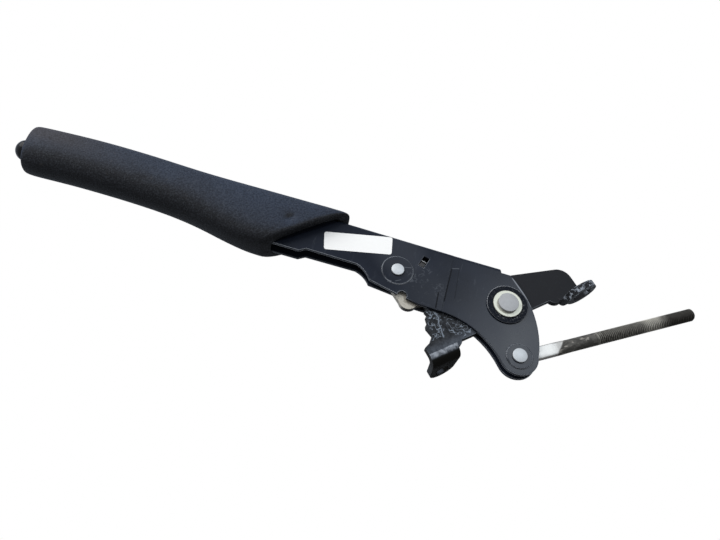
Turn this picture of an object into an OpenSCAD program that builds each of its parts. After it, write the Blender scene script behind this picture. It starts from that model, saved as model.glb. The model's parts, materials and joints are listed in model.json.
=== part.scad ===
// Parking brake lever: stamped ratchet bracket, pressed lever channel with a soft grip,
// push-button pawl release and threaded pull rod.
// The origin is the front foot's bolt hole on the mounting plane, +Z is up, +X points rearward.

/* [Bracket] */
// Thickness of the bracket plate
plate_t = 4; // [3:0.25:4]
// Height of the main pivot above the mounting plane
base_drop = 15; // [14:0.5:20]
// Distance of the front foot hole ahead of the main pivot
front_hole_x = 50; // [49:0.5:54]
// Distance of the front foot hole beyond the lever's middle plane
front_hole_y = 16; // [15:0.5:22]
// Diameter of the front foot hole
front_hole_d = 9; // [6.5:0.5:11]
// Radius of the front foot's pad round its hole
front_pad_r = 8.5; // [8:0.25:9.5]
// Width of the front foot at its bend
front_foot_w = 19; // [18:0.5:20]
// Distance of the rear ear hole behind the main pivot
rear_hole_x = 44; // [43:0.5:48]
// Distance of the rear ear hole in front of the lever's middle plane
rear_hole_y = 10; // [9:0.5:15]
// Diameter of the rear ear hole
rear_hole_d = 12; // [8.5:0.5:13]
// Radius of the rear ear's rounded end
rear_pad_r = 10; // [9.5:0.25:11]
// Inner radius of the two foot bends
bend_r = 3; // [2:0.5:4]
// Height of the plate's lower edge below the main pivot
plate_low = 7.8; // [7.4:0.2:8.4]
// Height of the rear arm's top edge where it leaves the cheeks, above the pivot
arm_top = 17.2; // [16:0.2:17.4]
// Slope of the rear arm's top edge in degrees
arm_slope = 15; // [12:0.5:20]

/* [Ratchet sector] */
// Radius over the tips of the ratchet teeth
sector_r = 51; // [50:0.25:52]
// Depth of a ratchet tooth
tooth_depth = 2.2; // [1.5:0.1:2.6]
// Angle of the lowest tooth above the forward direction, in degrees
first_tooth = 16.2; // [15:0.2:18]
// Angle from one tooth to the next, in degrees
tooth_pitch = 4.1; // [3.6:0.1:4.6]
// Number of ratchet teeth
tooth_count = 8; // [6:1:8]

/* [Lever channel] */
// Angle of the lever above the mounting plane in the stored pose, in degrees
lever_angle = 42; // [40:0.5:44]
// Thickness of the pressed sheet
sheet_t = 1.8; // [1.5:0.1:2.2]
// Clearance between the bracket plate and each cheek
plate_gap = 0.2; // [0.15:0.05:0.4]
// Height of the channel's top face above the main pivot
channel_top = 24.8; // [24:0.1:25.5]
// Outer radius of the fold between the web and the cheeks
fold_r = 2.5; // [2.3:0.1:3.2]
// Distance of the web's rear end ahead of the main pivot
web_end = 8; // [8:0.25:12]
// Distance ahead of the pivot at which the cheeks start to spread
flare_u = 38; // [34:1:44]
// Angle at which each cheek spreads towards the grip, in degrees
flare_angle = 0.9; // [0.8:0.02:1]
// Distance of the channel's front end ahead of the main pivot
channel_reach = 290; // [288:0.5:291]
// Drop of the cheeks' belly below the main pivot
belly_drop = 17.2; // [16.5:0.1:18]
// Drop of the cheeks' neck below the main pivot, ahead of the pawl
neck_drop = 2.2; // [1.5:0.1:3]
// Drop of the cheeks' lower edge at the grip's mouth
mouth_drop = 4.9; // [4:0.1:5.4]
// Height of the cheeks' lower edge inside the grip, above the main pivot
core_low = 3; // [2.5:0.1:4]

/* [Main pivot] */
// Diameter of the pivot rivet's shank
pivot_d = 9; // [8:0.5:9.5]
// Diameter of the pivot rivet's heads
pivot_head_d = 12.4; // [11:0.2:13]
// Height of the pivot rivet's heads
pivot_head_h = 2.4; // [1.8:0.1:3]
// Outer diameter of the pale washers
washer_d = 17.8; // [16:0.2:20]
// Thickness of the pale washers
washer_t = 0.8; // [0.6:0.1:1.2]
// Diameter of the flanged bushes' flanges
bush_flange_d = 25.4; // [21:0.2:26]
// Thickness of the bushes' flanges
bush_flange_t = 1; // [0.8:0.1:1.5]
// Wall of the bushes' sleeves
bush_wall = 2; // [1.5:0.1:2.4]

/* [Pull rod] */
// Distance of the pull rod's pin behind the main pivot, along the lever
pin_back = 12.2; // [11:0.2:14]
// Distance of the pull rod's pin below the main pivot, square to the lever
pin_drop = 31.5; // [30:0.5:33]
// Radius of the cheeks' lobe round the pin
lobe_r = 11.7; // [11:0.1:12.5]
// Diameter of the pull rod's pin
pin_d = 6; // [5:0.25:6.5]
// Diameter of the pin's head
pin_head_d = 8.8; // [8:0.2:10]
// Height of the pin's head
pin_head_h = 1.6; // [1.4:0.1:2.6]
// Diameter of the raised boss under the pin's head
pin_boss_d = 15.6; // [14:0.2:18]
// Height of the raised boss
pin_boss_h = 0.8; // [0.5:0.1:1]
// Diameter of the pull rod over its thread
rod_d = 8; // [6:0.5:8]
// Length of the pull rod's threaded end
thread_length = 71; // [50:0.5:80]
// Distance from the pin to the pull rod's end
rod_length = 123.5; // [110:0.5:140]
// Distance from the pin to the end of the rod's flattened part
rod_flat = 28; // [24:0.5:34]
// Slope of the pull rod below the mounting plane's direction in the stored pose, in degrees
rod_slope = 10; // [6:0.5:13]
// Radius of the pull rod's eye
eye_r = 7.5; // [6:0.25:8.5]

/* [Pawl] */
// Distance of the pawl's rivet ahead of the main pivot
pawl_u = 69.5; // [69:0.1:71]
// Height of the pawl's rivet above the main pivot
pawl_v = 1.6; // [1:0.1:2.2]
// Thickness of the pawl
pawl_t = 3.4; // [3:0.1:3.6]
// Diameter of the pawl rivet's shank
pawl_pin_d = 6; // [5:0.25:6.5]
// Diameter of the pawl rivet's heads
pawl_head_d = 7.8; // [7.2:0.2:9]
// Height of the pawl rivet's heads
pawl_head_h = 1.4; // [1.2:0.1:2.2]
// Distance from the pawl's rivet to the release rod's line
pawl_arm = 17; // [16:0.1:17]
// Width of the pawl's arm
pawl_arm_w = 6; // [5:0.25:7]
// Diameter of the shallow raised ring round the pawl's rivet
pawl_boss_d = 19.4; // [16:0.2:21]
// Diameter of the pawl spring's wire
pawl_wire_d = 0.7; // [0.5:0.05:0.7]

/* [Grip and button] */
// Distance of the grip's mouth ahead of the main pivot, at its middle height
grip_back = 128.4; // [128:0.2:129.4]
// Length of the grip's front end beyond the channel
grip_nose = 23; // [22:0.5:25]
// Height of the grip's crown above the main pivot
grip_top = 32.8; // [32.4:0.1:34]
// Drop of the grip's mouth below the main pivot
grip_drop = 9.4; // [9:0.1:10]
// Half width of the grip at its middle
grip_half_w = 13.9; // [13.5:0.1:15]
// Diameter of the button
button_d = 13; // [12:0.25:14]
// Length of the button that stands out of the grip's front end
button_out = 8.3; // [7.5:0.1:10]
// Height of the button's axis above the main pivot, square to the lever
button_v = 12.5; // [12:0.1:13]
// Travel of the button
button_travel = 5; // [4:0.5:5]
// Diameter of the release rod
release_d = 4; // [3:0.25:4]
// Outer diameter of the button spring
spring_d = 9; // [8:0.25:9.4]
// Diameter of the button spring's wire
spring_wire_d = 1; // [0.8:0.05:1.2]
// Number of coils of the button spring
spring_coils = 8; // [6:1:9]
// Wall of the button's guide sleeve
guide_wall = 1.9; // [1.5:0.1:2.2]

/* [Clearances] */
// Radial clearance of turning and sliding fits
run_gap = 0.05; // [0.02:0.01:0.08]
// Clearance between pieces that only lie side by side
lie_gap = 0.1; // [0.05:0.05:0.2]
// Clearance between the grip's cavity and what it holds
grip_gap = 0.3; // [0.2:0.05:0.4]
// Clearance between the pawl's tooth and the tips of the sector's teeth
pawl_gap = 0.4; // [0.3:0.05:0.6]

/* [Hidden] */
$fn = 64;

bracket_black = [0.16, 0.16, 0.17];
lever_black = [0.13, 0.14, 0.17];
grip_slate = [0.17, 0.18, 0.21];
zinc_bright = [0.82, 0.83, 0.82];
pale_cream = [0.86, 0.86, 0.78];
steel_grey = [0.58, 0.59, 0.60];
dark_steel = [0.30, 0.29, 0.27];
gloss_black = [0.04, 0.04, 0.05];
guide_white = [0.80, 0.80, 0.76];

// Levels across the lever, measured from its middle plane
cheek_in = plate_t / 2 + plate_gap;
cheek_out = cheek_in + sheet_t;
bush_face = cheek_out + bush_flange_t;
washer_face = bush_face + lie_gap + washer_t;
bend_out = bend_r + plate_t;
far_off = 200;
// How far a rivet's shank runs on into its head
head_root = 0.5;

// Offset of the cheeks at the crease where they start to spread
flare_step = 0.1;
// Inner and outer half widths of the channel at a distance u ahead of the pivot
function spread(u) = u > flare_u ? flare_step + (u - flare_u) * tan(flare_angle) : 0;
function inner_half(u) = cheek_in + spread(u);
function outer_half(u) = cheek_out + spread(u);

// Point at radius r and at an angle above the forward direction, in the side plane
function forward_polar(r, angle) = [-r * cos(angle), r * sin(angle)];
// Point given as distance ahead of the pivot and height above it, in the side plane
function ahead(u, v) = [-u, v];
// Arc from a to c with the given sagitta to the left of the way from a to c
function sag_arc(a, c, sag, n) =
    let (
        chord = c - a,
        half = norm(chord) / 2,
        left = [-chord[1], chord[0]] / norm(chord),
        r = (half * half + sag * sag) / (2 * sag),
        o = (a + c) / 2 + left * (sag - r),
        spread_angle = asin(half / r),
        mid = atan2(left[1], left[0])
    )
    [for (i = [0 : n]) let (t = mid + spread_angle * (1 - 2 * i / n)) o + r * [cos(t), sin(t)]];
// Arc round a centre from one angle to another
function round_arc(o, r, from, to, n) =
    [for (i = [0 : n]) let (t = from + (to - from) * i / n) o + r * [cos(t), sin(t)]];

// Extrudes a side-plane outline from y0 to y1
module slab(y0, y1) {
    translate([0, y1, 0])
        rotate([90, 0, 0])
            linear_extrude(height = y1 - y0)
                children();
}
// Round bar across the lever, at p in the side plane
module cross_bar(p, r, y0, y1) {
    translate([p[0], y1, p[1]])
        rotate([90, 0, 0])
            cylinder(r = r, h = y1 - y0);
}
// Ring across the lever
module cross_ring(p, r_out, r_in, y0, y1) {
    difference() {
        cross_bar(p, r_out, y0, y1);
        cross_bar(p, r_in, y0 - 1, y1 + 1);
    }
}
// Round bar along the lever from u0 to u1, at height v
module long_bar(u0, u1, v, r) {
    translate([-u1, 0, v])
        rotate([0, 90, 0])
            cylinder(r = r, h = u1 - u0);
}
// Low crown of the rivet heads
head_crown = 0.5;
// Rivet head that stands on the plane y = side * face and looks away from the lever
module rivet_head(p, d, h, face, side) {
    dome_r = (d * d / 4 + head_crown * head_crown) / (2 * head_crown);
    translate([p[0], side * face, p[1]])
        rotate([-90 * side, 0, 0])
            intersection() {
                cylinder(d = d, h = h);
                translate([0, 0, h - dome_r])
                    rotate([90, 0, 0])
                        sphere(r = dome_r, $fn = 180);
            }
}
// Leaves a piece on the far side, or mirrors it to the near side
module on_side(side) {
    if (side < 0)
        mirror([0, 1, 0])
            children();
    else
        children();
}
// Moves the design frame at the main pivot to the part's origin
module place_fixed() {
    translate([front_hole_x, -front_hole_y, base_drop])
        children();
}
// Turns a piece of the lever to its stored angle
module place_lever() {
    place_fixed()
        rotate([0, lever_angle, 0])
            children();
}

// Bracket

foot_front = front_hole_x + front_foot_w / 2;
foot_back = front_hole_x - front_foot_w / 2;
ear_front = rear_hole_x - rear_pad_r;
ear_back = rear_hole_x + rear_pad_r;
bend_z = -base_drop + bend_out;
// Upper end of the front foot's straight edge, and the two corners of the neck above it
foot_edge_z = -3.2;
neck_foot_x = 55.4;
neck_foot_drop = 1.6;
neck_x = 51.4;
neck_rise = 2.2;
// Nose that stops the pawl below the last notch: height beyond the teeth, and its angles in degrees
nose_out = 1.9;
nose_from = 8.4;
nose_to = 10.4;
// Share of the nose's height at its upper corner
nose_taper = 0.75;
// Angle at which the nose runs into the sector's arc
sector_start = 12;
// Chamfer behind the last tooth: drop in radius and turn in degrees
sector_end_drop = 6;
sector_end_turn = 4;
// Hollow between the sector and the rear arm
dip_from_u = 19;
dip_from_v = 28;
dip_sag = 3.5;
// Place behind the pivot where the rear arm's straight top edge starts
arm_root = 15.3;
arm_end_r = 9;
// How far the arm's rear edge stands ahead of the ear's rear end
arm_inset = 3.4;
arm_back = ear_back - arm_inset;
// Relief at the inner corners of the feet
ear_relief_z = -11.2;
ear_relief_x = 6;
ear_relief_sag = 1.2;
foot_relief_x = 3.5;
foot_relief_z = 2.4;
foot_relief_sag = 0.9;
last_tooth = first_tooth + tooth_pitch * tooth_count;

function tooth_points() = [
    for (k = [0 : tooth_count - 1])
        for (r = [sector_r, sector_r - tooth_depth])
            forward_polar(r, first_tooth + tooth_pitch * k)
];
// Centre of the arm's rounded upper corner, whose arc runs on from the straight top edge
function arm_corner() =
    let (x = arm_back - arm_end_r)
    [x, arm_top - (x - arm_root) * tan(arm_slope) - arm_end_r / cos(arm_slope)];
function bracket_outline() = concat(
    [[-foot_front, bend_z], [-foot_front, foot_edge_z]],
    [ahead(neck_foot_x, -neck_foot_drop), ahead(neck_x, neck_rise)],
    [forward_polar(sector_r + nose_out, nose_from), forward_polar(sector_r + nose_taper * nose_out, nose_to)],
    round_arc([0, 0], -sector_r, -sector_start, -first_tooth, 4),
    tooth_points(),
    [
        forward_polar(sector_r, last_tooth),
        forward_polar(sector_r - sector_end_drop, last_tooth + sector_end_turn)
    ],
    sag_arc(ahead(dip_from_u, dip_from_v), [arm_root, arm_top], -dip_sag, 10),
    round_arc(arm_corner(), arm_end_r, 90 - arm_slope, 0, 8),
    [[arm_back, bend_z], [ear_front, bend_z]],
    sag_arc([ear_front, ear_relief_z], [ear_front - ear_relief_x, -plate_low], ear_relief_sag, 6),
    sag_arc(
        [foot_relief_x - foot_back, -plate_low],
        [-foot_back, bend_z - foot_relief_z], foot_relief_sag, 6
    ),
    [[-foot_back, bend_z]]
);
// Quarter bend between the plate and a foot that turns to the far side
module far_bend(x0, x1) {
    intersection() {
        translate([x0, plate_t / 2 + bend_r, bend_z])
            rotate([0, 90, 0])
                difference() {
                    cylinder(r = bend_out, h = x1 - x0);
                    translate([0, 0, -1])
                        cylinder(r = bend_r, h = x1 - x0 + 2);
                }
        translate([x0, -plate_t / 2, -base_drop])
            cube([x1 - x0, bend_out, bend_out]);
    }
}
// Flat foot on the far side: straight flanks that run into a round pad
module far_foot(x0, x1, hole, pad_r) {
    translate([0, 0, -base_drop])
        linear_extrude(height = plate_t) {
            polygon([
                [x0, plate_t / 2 + bend_r], [x1, plate_t / 2 + bend_r],
                [hole[0] + pad_r, hole[1]], [hole[0] - pad_r, hole[1]]
            ]);
            translate(hole)
                circle(r = pad_r);
        }
}
module foot_hole(hole, d) {
    translate([hole[0], hole[1], -base_drop - 1])
        cylinder(d = d, h = plate_t + 2);
}
module ratchet_bracket() {
    color(bracket_black)
        place_fixed()
            difference() {
                union() {
                    slab(-plate_t / 2, plate_t / 2)
                        polygon(bracket_outline());
                    far_bend(-foot_front, -foot_back);
                    far_foot(-foot_front, -foot_back, [-front_hole_x, front_hole_y], front_pad_r);
                    mirror([0, 1, 0]) {
                        far_bend(ear_front, arm_back);
                        far_foot(ear_front, arm_back, [rear_hole_x, rear_hole_y], rear_pad_r);
                    }
                }
                cross_bar([0, 0], pivot_d / 2 + run_gap, -far_off, far_off);
                foot_hole([-front_hole_x, front_hole_y], front_hole_d);
                foot_hole([rear_hole_x, -rear_hole_y], rear_hole_d);
            }
}

// Main pivot

module pivot_rivet() {
    color(steel_grey)
        place_fixed() {
            cross_bar([0, 0], pivot_d / 2, -washer_face - head_root, washer_face + head_root);
            for (side = [-1, 1])
                rivet_head([0, 0], pivot_head_d, pivot_head_h, washer_face, side);
        }
}
module pivot_washer(side) {
    color(pale_cream)
        place_fixed()
            on_side(side)
                cross_ring([0, 0], washer_d / 2, pivot_d / 2 + run_gap, washer_face - washer_t, washer_face);
}
module near_pivot_washer() {
    pivot_washer(-1);
}
module far_pivot_washer() {
    pivot_washer(1);
}

module pivot_bush(side) {
    color(lever_black)
        place_lever()
            on_side(side)
                difference() {
                    union() {
                        cross_bar([0, 0], pivot_d / 2 + bush_wall, cheek_in, bush_face);
                        cross_bar([0, 0], bush_flange_d / 2, cheek_out, bush_face);
                    }
                    cross_bar([0, 0], pivot_d / 2 + run_gap, 0, far_off);
                }
}
module near_pivot_bush() {
    pivot_bush(-1);
}
module far_pivot_bush() {
    pivot_bush(1);
}

// Lever channel

pin_at = ahead(-pin_back, -pin_drop);
pawl_at = ahead(pawl_u, pawl_v);
web_low = channel_top - sheet_t;
fold_flats = 6;
// How far the folded section runs on behind the pivot, over the spread's start and past the front end
run_back = 40;
run_lap = 0.2;
run_over = 5;
// Sheared corner behind the web, and the cheeks' rear edge down to the lobe
web_corner_u = 1.2;
web_corner_v = 3.4;
rear_top_u = 1;
rear_sag = 6.4;
// Angles on the lobe where the rear edge and the throat run into it
lobe_top = 13;
lobe_front = 214;
throat_sag = 4.6;
// Lower edge of the cheeks from the throat to the grip
belly_from_u = 35;
belly_to_u = 53;
belly_to_rise = 0.4;
pawl_edge_u = 68.5;
pawl_edge_drop = 13.8;
chin_u = 84.3;
chin_drop = 10.4;
chin_sag = 1.2;
neck_from_u = 94.5;
neck_to_u = 126.5;
step_u = 130.5;
mouth_u = 150;
core_u = 185;
// How much higher the far cheek is cut beside the pawl, and at the chin
far_pawl_lift = 2.5;
far_chin_lift = 1;
// Round notch in the cheeks below the pawl
notch_u = 63;
notch_drop = 14.2;
notch_r = 2.9;
// Slot in the near cheek for the pawl spring's hook
slot_u = 55.1;
slot_v = 12.9;
slot_w = 3.9;
slot_l = 8;
slot_tilt = 17;
pawl_boss_h = 0.4;

function channel_outline(pawl_lift, chin_lift) = concat(
    [ahead(channel_reach, core_low), ahead(channel_reach, channel_top), ahead(web_end, channel_top)],
    [ahead(web_end - web_corner_u, channel_top - web_corner_v)],
    sag_arc(
        ahead(rear_top_u, channel_top - web_corner_v),
        pin_at + lobe_r * [cos(lobe_top), sin(lobe_top)], rear_sag, 12
    ),
    round_arc(pin_at, lobe_r, lobe_top, lobe_front - 360, 16),
    sag_arc(
        pin_at + lobe_r * [cos(lobe_front), sin(lobe_front)],
        ahead(belly_from_u, -belly_drop), -throat_sag, 10
    ),
    [ahead(belly_to_u, belly_to_rise - belly_drop), ahead(pawl_edge_u, pawl_lift - pawl_edge_drop)],
    sag_arc(ahead(chin_u, chin_lift - chin_drop), ahead(neck_from_u, -neck_drop), -chin_sag, 5),
    [
        ahead(neck_to_u, -neck_drop), ahead(step_u, -mouth_drop),
        ahead(mouth_u, -mouth_drop), ahead(core_u, core_low)
    ]
);
// Half of the folded section, on the near side of the middle plane; the fold is pressed in narrow flats
function half_section(reach) = concat(
    [[reach, channel_top]],
    round_arc([fold_r - cheek_out, channel_top - fold_r], fold_r, 90, 180, fold_flats),
    [[-cheek_out, -far_off], [-cheek_in, -far_off], [-cheek_in, web_low], [reach, web_low]]
);
module section_run(u0, u1, reach) {
    translate([-u1, 0, 0])
        rotate([90, 0, 90])
            linear_extrude(height = u1 - u0)
                polygon(half_section(reach));
}
// Near half of the channel: parallel at the pivot, then turned outwards to spread
module near_half(pawl_lift, chin_lift) {
    intersection() {
        union() {
            section_run(-run_back, flare_u + run_lap, 0);
            translate([-flare_u, -cheek_in - flare_step, 0])
                rotate([0, 0, flare_angle])
                    translate([flare_u, cheek_in, 0])
                        section_run(flare_u, channel_reach + run_over, spread(channel_reach + run_over));
        }
        slab(-far_off, 0)
            polygon(channel_outline(pawl_lift, chin_lift));
    }
}
// Shallow raised disc pressed out of one cheek
module cheek_boss(p, d, h, side) {
    u = -p[0];
    on_side(side)
        translate([p[0], outer_half(u), p[1]])
            rotate([0, 0, u > flare_u ? -flare_angle : 0])
                translate([-p[0], 0, -p[1]])
                    cross_bar(p, d / 2, -sheet_t / 2, h);
}
module lever_channel() {
    color(lever_black)
        place_lever()
            difference() {
                union() {
                    near_half(0, 0);
                    mirror([0, 1, 0])
                        near_half(far_pawl_lift, far_chin_lift);
                    for (side = [-1, 1]) {
                        cheek_boss(pin_at, pin_boss_d, pin_boss_h, side);
                        cheek_boss(pawl_at, pawl_boss_d, pawl_boss_h, side);
                    }
                }
                cross_bar([0, 0], pivot_d / 2 + bush_wall, -far_off, far_off);
                cross_bar(pin_at, pin_d / 2, -far_off, far_off);
                cross_bar(pawl_at, pawl_pin_d / 2, -far_off, far_off);
                cross_bar(ahead(notch_u, -notch_drop), notch_r, -far_off, far_off);
                translate([-slot_u, -far_off, slot_v])
                    rotate([0, slot_tilt, 0])
                        translate([-slot_w / 2, 0, -slot_l / 2])
                            cube([slot_w, far_off, slot_l]);
            }
}

// Grip

mouth_slant = 1.17;
front_slant = 0.08;
grip_points = 28;
grip_power = 2.25;
grip_reach = channel_reach + grip_nose;
// Stations of the grip, as shares: along its length, of the crown's height, of the mouth's drop and of
// the half width, then the slant of the ring
function grip_stations() = [
    [0, 0.835, 0.66, 0.842, -mouth_slant],
    [0.0033, 0.896, 0.883, 0.986, -mouth_slant],
    [0.0195, 0.921, 0.989, 1.058, -0.97 * mouth_slant],
    [0.0791, 0.927, 1, 1.065, -0.78 * mouth_slant],
    [0.1549, 0.933, 0.947, 1.058, -0.52 * mouth_slant],
    [0.247, 0.942, 0.766, 1.043, -0.28 * mouth_slant],
    [0.3445, 0.951, 0.457, 1.022, -0.1 * mouth_slant],
    [0.442, 0.963, 0.202, 1.007, 0],
    [0.5395, 0.988, 0.064, 1, 0],
    [0.6371, 1, 0.011, 0.993, 0],
    [0.7346, 1, 0, 0.993, 0],
    [0.8212, 0.985, 0.021, 0.986, 0],
    [0.8971, 0.96, 0.096, 0.971, 0],
    [0.9567, 0.942, 0.16, 0.95, 0.6 * front_slant],
    [0.9865, 0.927, 0.149, 0.914, front_slant],
    [0.9962, 0.902, 0.053, 0.856, front_slant],
    [1, 0.854, -0.117, 0.741, front_slant]
];
function signed_power(x, p) = sign(x) * pow(abs(x), p);
function grip_ring(s) = [
    for (i = [0 : grip_points - 1])
        let (
            t = 360 * i / grip_points,
            top = s[1] * grip_top,
            low = -s[2] * grip_drop,
            rise = signed_power(sin(t), 2 / grip_power) * (top - low) / 2,
            u = grip_back + s[0] * (grip_reach - grip_back) + s[4] * rise
        )
        [-u, signed_power(cos(t), 2 / grip_power) * s[3] * grip_half_w, (top + low) / 2 + rise]
];
// Closed skin over a row of rings that have the same number of points
module ring_skin(rings) {
    n = len(rings[0]);
    last = len(rings) - 1;
    points = [for (ring = rings) for (p = ring) p];
    flanks = [
        for (k = [0 : last - 1])
            for (i = [0 : n - 1])
                let (j = (i + 1) % n)
                [k * n + i, k * n + j, (k + 1) * n + j, (k + 1) * n + i]
    ];
    first_cap = [[for (i = [n - 1 : -1 : 0]) i]];
    last_cap = [[for (i = [0 : n - 1]) last * n + i]];
    polyhedron(points, concat(flanks, first_cap, last_cap));
}
guide_r = button_d / 2 + run_gap + guide_wall;
guide_back = channel_reach;
// How far the guide's front end lies inside the grip's end
guide_sunk = 3;
guide_front = grip_reach - guide_sunk;
// Space inside the grip for the channel and the button's guide
cavity_back = 90;
cavity_front = channel_reach + grip_gap;
module grip_cavity() {
    intersection() {
        slab(-far_off, far_off)
            polygon([
                ahead(cavity_back, channel_top + grip_gap), ahead(cavity_front, channel_top + grip_gap),
                ahead(cavity_front, core_low - grip_gap), ahead(core_u, core_low - grip_gap),
                ahead(mouth_u, -mouth_drop - grip_gap), ahead(cavity_back, -mouth_drop - grip_gap)
            ]);
        translate([0, 0, -far_off])
            linear_extrude(height = 2 * far_off)
                polygon([
                    for (side = [-1, 1])
                        for (u = side < 0 ? [cavity_back, cavity_front] : [cavity_front, cavity_back])
                            [-u, side * (outer_half(u) + grip_gap)]
                ]);
    }
    long_bar(guide_back - 1, guide_front + grip_gap, button_v, guide_r + grip_gap);
    long_bar(guide_back, grip_reach + 20, button_v, button_d / 2 + grip_gap);
}
module grip() {
    color(grip_slate)
        place_lever()
            difference() {
                ring_skin([for (s = grip_stations()) grip_ring(s)]);
                grip_cavity();
            }
}

// Button and release

// Room left behind the pressed button, height of its dome, its wall and the solid end under the dome
button_room = 3;
button_dome = 5;
button_wall = 1.5;
button_crown = 3;
button_back = guide_back + button_travel + button_room;
button_tip = grip_reach + button_out;
button_socket = button_tip - button_dome - button_crown;
rod_line_v = pawl_v + pawl_arm;
// Gap between the release rod's tip and the pawl's arm
tip_gap = 0.3;
rod_tip_u = pawl_u + pawl_arm_w / 2 + tip_gap;
// Crank of the release rod: how far its front end lies behind the channel's end, and its length
joggle_behind = 40;
joggle_run = 18;
joggle_front = channel_reach - joggle_behind;
joggle_back = joggle_front - joggle_run;
knuckle_r = 0.7 * release_d;
// Room from the spring's seat to the channel's end
seat_behind = 28;
seat_u = channel_reach - seat_behind;
seat_t = 2;
collar_u = guide_back;
collar_t = 1.5;
collar_margin = 0.4;
collar_d = spring_d + collar_margin;
rod_guide_u = 150;
rod_guide_l = 12;
rod_guide_drop = 4.5;
// Height of the spring seat's lower edge above the channel's
seat_lift = 1;

module button_guide() {
    color(gloss_black)
        place_lever()
            difference() {
                long_bar(guide_back, guide_front, button_v, guide_r);
                long_bar(guide_back - 1, guide_front + 1, button_v, button_d / 2 + run_gap);
            }
}
module button() {
    dome_r = (button_d * button_d / 4 + button_dome * button_dome) / (2 * button_dome);
    color(gloss_black)
        place_lever()
            difference() {
                union() {
                    long_bar(button_back, button_tip - button_dome, button_v, button_d / 2);
                    intersection() {
                        long_bar(button_tip - button_dome, button_tip, button_v, button_d / 2);
                        translate([-(button_tip - dome_r), 0, button_v])
                            sphere(r = dome_r);
                    }
                }
                difference() {
                    long_bar(button_back - 1, button_socket, button_v, button_d / 2 - button_wall);
                    long_bar(button_back - 2, button_tip, button_v, release_d / 2 + button_wall);
                }
                long_bar(button_back - 1, button_socket, button_v, release_d / 2);
            }
}
// Rod with a crank between the button's line and the pawl's line, and a round knuckle at each bend
module release_rod() {
    r = release_d / 2;
    back = ahead(joggle_back, rod_line_v);
    front = ahead(joggle_front, button_v);
    run = back - front;
    short = knuckle_r / 4;
    color(steel_grey)
        place_lever() {
            translate([-rod_tip_u, 0, rod_line_v])
                rotate([0, -90, 0])
                    cylinder(r1 = r / 3, r2 = r, h = r);
            long_bar(rod_tip_u + r, joggle_back - short, rod_line_v, r);
            long_bar(joggle_front + short, button_socket, button_v, r);
            translate([front[0], 0, front[1]])
                rotate([0, 90 - atan2(run[1], run[0]), 0])
                    translate([0, 0, short])
                        cylinder(r = r, h = norm(run) - 2 * short);
            for (p = [back, front])
                translate([p[0], 0, p[1]])
                    rotate([0, 90, 0])
                        sphere(r = knuckle_r);
        }
}
module rod_collar() {
    color(zinc_bright)
        place_lever()
            difference() {
                long_bar(collar_u, collar_u + collar_t, button_v, collar_d / 2);
                long_bar(collar_u - 1, collar_u + collar_t + 1, button_v, release_d / 2);
            }
}
// Share of the button spring's length reached after some turns; its end coils lie side by side
function coil_share(turn, length) =
    let (
        close = 1.08 * spring_wire_d / length,
        open = (1 - 2 * close) / spring_coils
    )
    turn < 1 ? close * turn
    : turn < spring_coils + 1 ? close + open * (turn - 1)
    : 1 - close * (spring_coils + 2 - turn);
module button_spring() {
    r = (spring_d - spring_wire_d) / 2;
    from = seat_u + seat_t + spring_wire_d / 2 + lie_gap;
    to = collar_u - spring_wire_d / 2 - lie_gap;
    steps = 12;
    sides = 6;
    color(steel_grey)
        place_lever()
            ring_skin([
                for (k = [0 : steps * (spring_coils + 2)])
                    let (
                        turn = k / steps,
                        out = [0, cos(360 * turn), sin(360 * turn)],
                        c = [-from - (to - from) * coil_share(turn, to - from), 0, button_v] + r * out
                    )
                    [
                        for (i = [0 : sides - 1])
                            let (t = 360 * i / sides)
                            c + spring_wire_d / 2 * (cos(t) * out - sin(t) * [1, 0, 0])
                    ]
            ]);
}
// Block that fills the channel's inside at u, from v0 to v1, over a length
module channel_block(u, length, v0, v1) {
    translate([0, 0, v0])
        linear_extrude(height = v1 - v0)
            polygon([
                for (q = [[u, 1], [u + length, 1], [u + length, -1], [u, -1]])
                    [-q[0], q[1] * (inner_half(q[0]) - lie_gap)]
            ]);
}
module spring_seat() {
    color(zinc_bright)
        place_lever()
            difference() {
                channel_block(seat_u, seat_t, core_low + seat_lift, web_low - lie_gap);
                long_bar(seat_u - 1, seat_u + seat_t + 1, button_v, release_d / 2 + run_gap);
            }
}
module rod_guide() {
    color(guide_white)
        place_lever()
            difference() {
                channel_block(rod_guide_u, rod_guide_l, rod_line_v - rod_guide_drop, web_low - lie_gap);
                long_bar(rod_guide_u - 1, rod_guide_u + rod_guide_l + 1, rod_line_v, release_d / 2 + run_gap);
            }
}

// Pawl

tooth_angle = 17.4;
pawl_hub_r = 6.8;
pawl_belly_r = 5.7;
pawl_belly_u = 58.4;
pawl_belly_drop = 15.2;
// Corner between the belly and the hub, and the back of the tooth behind its tip
pawl_flank_u = 69;
pawl_flank_drop = 12.2;
tooth_back = 4.2;
tooth_rise = 4.4;
// Angles of the belly's arc and of the hub's lower ends
belly_from_angle = -20;
belly_to_angle = -155;
hub_low_angle = 8;
pawl_boss_face = outer_half(pawl_u + pawl_boss_d / 2) + pawl_boss_h;
spacer_t = inner_half(pawl_u - pawl_hub_r) - pawl_t / 2 - 2 * lie_gap;
near_spacer_r = 4;
// How far the pawl spring's hook stands out of the near cheek
hook_out = 0.4;
// How far the hook's wire stands past the bar laid across the slot
hook_stub = 0.2;

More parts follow.
